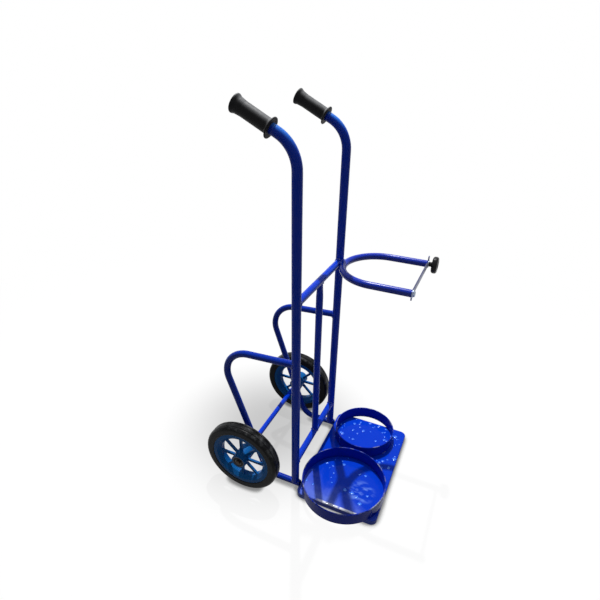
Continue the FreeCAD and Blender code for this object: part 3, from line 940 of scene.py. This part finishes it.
def paint_drops():
    """Blisters in patches over the top of the tray."""
    shape = bmesh.new()
    least, most = drop_radius
    for x_share, y_share, spread, count in drop_patch_shares:
        for _ in range(count):
            place = drop_place(x_share, y_share, spread)
            radius = least + (most - least) * random.random() ** drop_size_power
            squeeze = random.uniform(*drop_squeeze_shares)
            turn = random.uniform(0, math.pi)
            add_drop(shape, place, radius, radius * drop_height_share, squeeze, turn)
    add_piece("tray_paint_drops", shape, "blue_paint", finish=enamel("drop_enamel", drop_paint))


# Knob stud

def knob_stud():
    """Stud with its screw thread, in place of the plain one."""
    low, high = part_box("knob_stud")
    centre = (low + high) / 2
    radius = (high.x - low.x) / 2
    length = high.y - low.y
    steps = round(length / thread_pitch * thread_steps_per_turn)
    shape = bmesh.new()
    rings = []
    for step in range(steps + 1):
        along = length * step / steps
        ring = []
        for side in range(thread_sides):
            angle = 2 * math.pi * side / thread_sides
            phase = (along / thread_pitch - angle / (2 * math.pi)) % 1.0
            size = radius - thread_depth * abs(2 * phase - 1)
            x = centre.x + size * math.cos(angle)
            z = centre.z + size * math.sin(angle)
            ring.append(shape.verts.new((x, high.y - along, z)))
        rings.append(ring)
    join_rings(shape, rings, False)
    piece = add_piece("knob_stud_thread", shape, "zinc_steel", "knob")
    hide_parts("knob_stud")


# Stage

def seen_directly(tree):
    """1 for camera, glossy and transmission rays, and 0 for rays that only carry light."""
    path = tree.nodes.new("ShaderNodeLightPath")
    seen = path.outputs["Is Camera Ray"]
    for name in ("Is Glossy Ray", "Is Transmission Ray"):
        either = tree.nodes.new("ShaderNodeMath")
        either.operation = "MAXIMUM"
        tree.links.new(seen, either.inputs[0])
        tree.links.new(path.outputs[name], either.inputs[1])
        seen = either.outputs["Value"]
    return seen


def floor_finish():
    """Dull floor with a white glow that lights nothing, with a painted shadow under the trolley and painted
    shade at contacts.
    """
    finish = Finish("floor_finish", Roughness=1.0, Specular_IOR_Level=0.0,
                    Emission_Color=(1.0, 1.0, 1.0, 1.0))
    distance = finish.vector_math("DISTANCE", floor_shade_centre)
    fade = finish.span(distance, *floor_fade_reach)
    shade = finish.span(distance, *floor_shade_reach, floor_shade_tone, floor_white)
    glow = finish.math("ADD", shade, finish.math("MULTIPLY", fade, 1.0 - floor_white))
    contact = finish.node("ShaderNodeAmbientOcclusion")
    contact.inputs["Distance"].default_value = contact_reach
    touching = finish.span(contact.outputs["AO"], *contact_open, contact_tone, 1.0)
    tone = finish.mixed(fade, (floor_albedo, floor_albedo, floor_albedo), (0.0, 0.0, 0.0))
    strength = finish.product(glow, touching, seen_directly(finish.tree))
    return finish.feed(Base_Color=tone, Emission_Strength=strength)


def floor():
    """Pale floor that shows soft shadows and fades to white."""
    shape = bmesh.new()
    bmesh.ops.create_grid(shape, x_segments=floor_cells, y_segments=floor_cells, size=floor_size / 2)
    mesh = bpy.data.meshes.new("floor")
    shape.to_mesh(mesh)
    shape.free()
    piece = bpy.data.objects.new("floor", mesh)
    bpy.context.scene.collection.objects.link(piece)
    mesh.materials.append(floor_finish())


def world():
    """White surroundings, with a dim even light on the object."""
    made = bpy.data.worlds.new("studio")
    made.use_nodes = True
    tree = made.node_tree
    background = tree.nodes["Background"]
    background.inputs["Color"].default_value = (1.0, 1.0, 1.0, 1.0)
    strength = tree.nodes.new("ShaderNodeMapRange")
    strength.inputs["To Min"].default_value = ambient_strength
    strength.inputs["To Max"].default_value = 1.0
    tree.links.new(seen_directly(tree), strength.inputs["Value"])
    tree.links.new(strength.outputs["Result"], background.inputs["Strength"])
    bpy.context.scene.world = made


def lamp(name, direction, distance, size, power):
    """Rectangular light that faces the origin from a direction."""
    data = bpy.data.lights.new(name, "AREA")
    data.shape = "RECTANGLE"
    data.size, data.size_y = size
    data.energy = power
    holder = bpy.data.objects.new(name, data)
    holder.location = direction.normalized() * distance
    holder.rotation_euler = direction.to_track_quat("Z", "Y").to_euler()
    bpy.context.scene.collection.objects.link(holder)


def lights():
    """Small key light from high on the far side, and a wide soft panel beside it."""
    lamp("key_light", key_direction, key_distance, key_size, key_power)
    lamp("panel_light", panel_direction, panel_distance, panel_size, panel_power)


def camera():
    """Camera at the photograph's place."""
    data = bpy.data.cameras.new("camera")
    data.lens = camera_lens
    data.sensor_width = camera_sensor
    data.shift_x, data.shift_y = camera_shift
    holder = bpy.data.objects.new("camera", data)
    look = (camera_target - camera_place).to_track_quat("-Z", "Y").to_matrix()
    turn = look @ Matrix.Rotation(camera_roll, 3, "Z")
    holder.matrix_world = Matrix.Translation(camera_place) @ turn.to_4x4()
    bpy.context.scene.collection.objects.link(holder)
    bpy.context.scene.camera = holder


dress_nodes()
crossbar_welds()
strut_welds()
hoop_welds()
axle_welds()
yoke_welds()
ring_welds()
paint_drops()
knob_stud()
floor()
world()
lights()
camera()
bpy.context.scene.view_settings.view_transform = "Standard"
